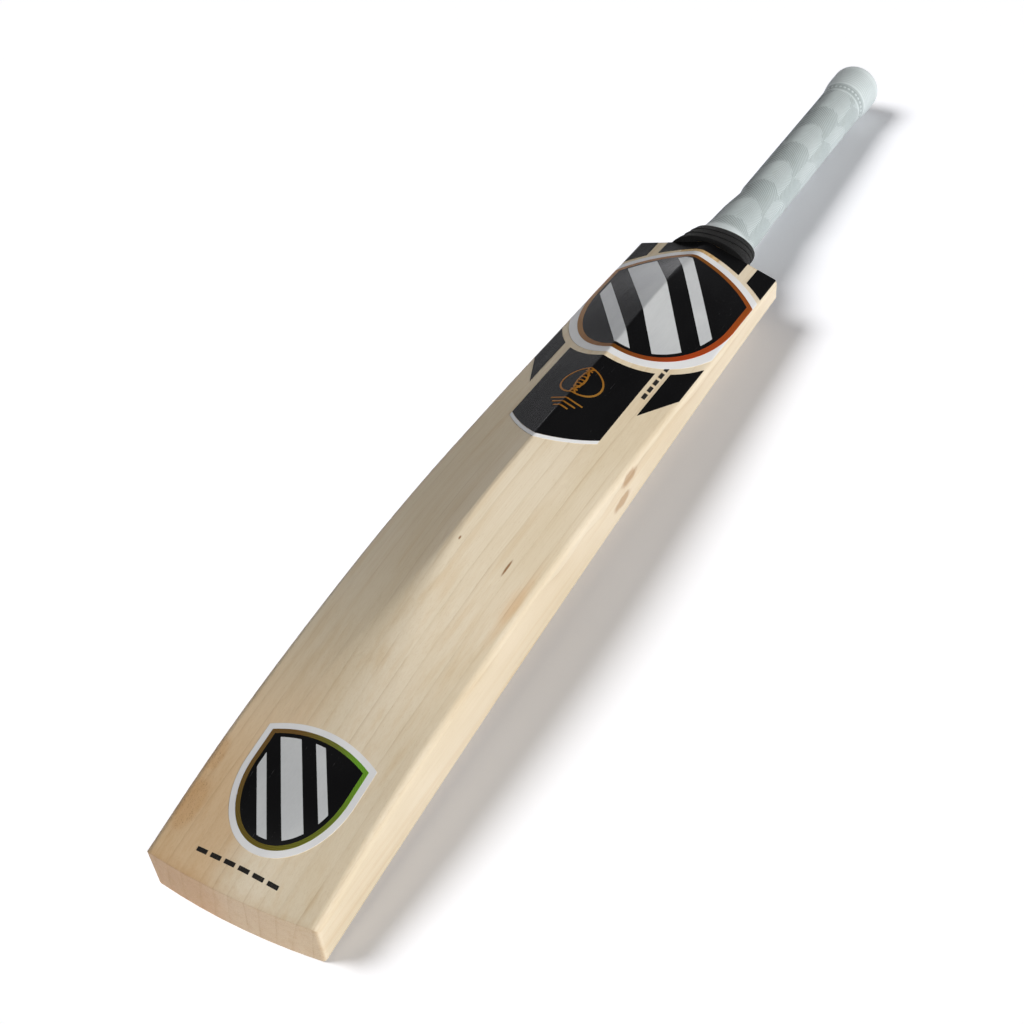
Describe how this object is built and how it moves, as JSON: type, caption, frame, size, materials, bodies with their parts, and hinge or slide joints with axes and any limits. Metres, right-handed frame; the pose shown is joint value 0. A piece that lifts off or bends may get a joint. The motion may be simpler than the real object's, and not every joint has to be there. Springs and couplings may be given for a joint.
{
  "type": "cricket bat",
  "caption": "Full-size willow cricket bat with a ridged back, a spliced cane handle in a ribbed rubber grip, and plain decorative stickers.",
  "frame": {"origin": "on the rest plane, under the middle of the bat's length, on its plane of symmetry", "axes": "the bat lies on its face on the toe and the end of the handle: +X from the toe to the handle's end, +Y across the blade, +Z out of its ridged back"},
  "size_m": [0.8604, 0.108, 0.0782],
  "materials": {
    "willow": "pale sanded willow with fine straight grain, lightly polished",
    "cane": "planed cane with fine pores",
    "spring_rubber": "dark cork and rubber strip",
    "twine": "tightly wound waxed linen twine",
    "grip_rubber": "soft matt rubber with fine moulded ribs",
    "collar_tape": "black woven cloth tape with a slight sheen",
    "black_vinyl": "glossy black printed vinyl",
    "white_vinyl": "white vinyl with a faint pearl",
    "silver_vinyl": "embossed pearl silver vinyl",
    "orange_foil": "foil line that shades from gold to orange",
    "green_foil": "foil line that shades from olive gold to green",
    "gold_foil": "thin gold foil line-work",
    "black_ink": "black transfer print"
  },
  "bodies": {
    "root": {"blade": "willow", "cane_front_left": "cane", "cane_front_middle": "cane", "cane_front_right": "cane", "cane_inner_front_left": "cane", "cane_inner_front_middle": "cane", "cane_inner_front_right": "cane", "cane_inner_back_left": "cane", "cane_inner_back_middle": "cane", "cane_inner_back_right": "cane", "cane_back_left": "cane", "cane_back_middle": "cane", "cane_back_right": "cane", "spring_strip_front": "spring_rubber", "spring_strip_middle": "spring_rubber", "spring_strip_back": "spring_rubber", "handle_twine": "twine", "grip_sleeve": "grip_rubber", "collar_tape_lower": "collar_tape", "collar_tape_middle": "collar_tape", "collar_tape_upper": "collar_tape", "upper_panel_left": "black_vinyl", "upper_panel_centre": "black_vinyl", "upper_panel_right": "black_vinyl", "lower_panel_left": "black_vinyl", "lower_panel_centre": "black_vinyl", "lower_panel_right": "black_vinyl", "emblem_field": "black_vinyl", "toe_badge_field": "black_vinyl", "emblem_border": "white_vinyl", "toe_badge_border": "white_vinyl", "lower_panel_trim": "white_vinyl", "emblem_ring": "orange_foil", "toe_badge_ring": "green_foil", "lower_panel_motif": "gold_foil", "emblem_bars": "silver_vinyl", "toe_badge_bars": "silver_vinyl", "toe_dashes": "black_ink", "edge_dashes": "black_ink"}
  },
  "joints": []
}
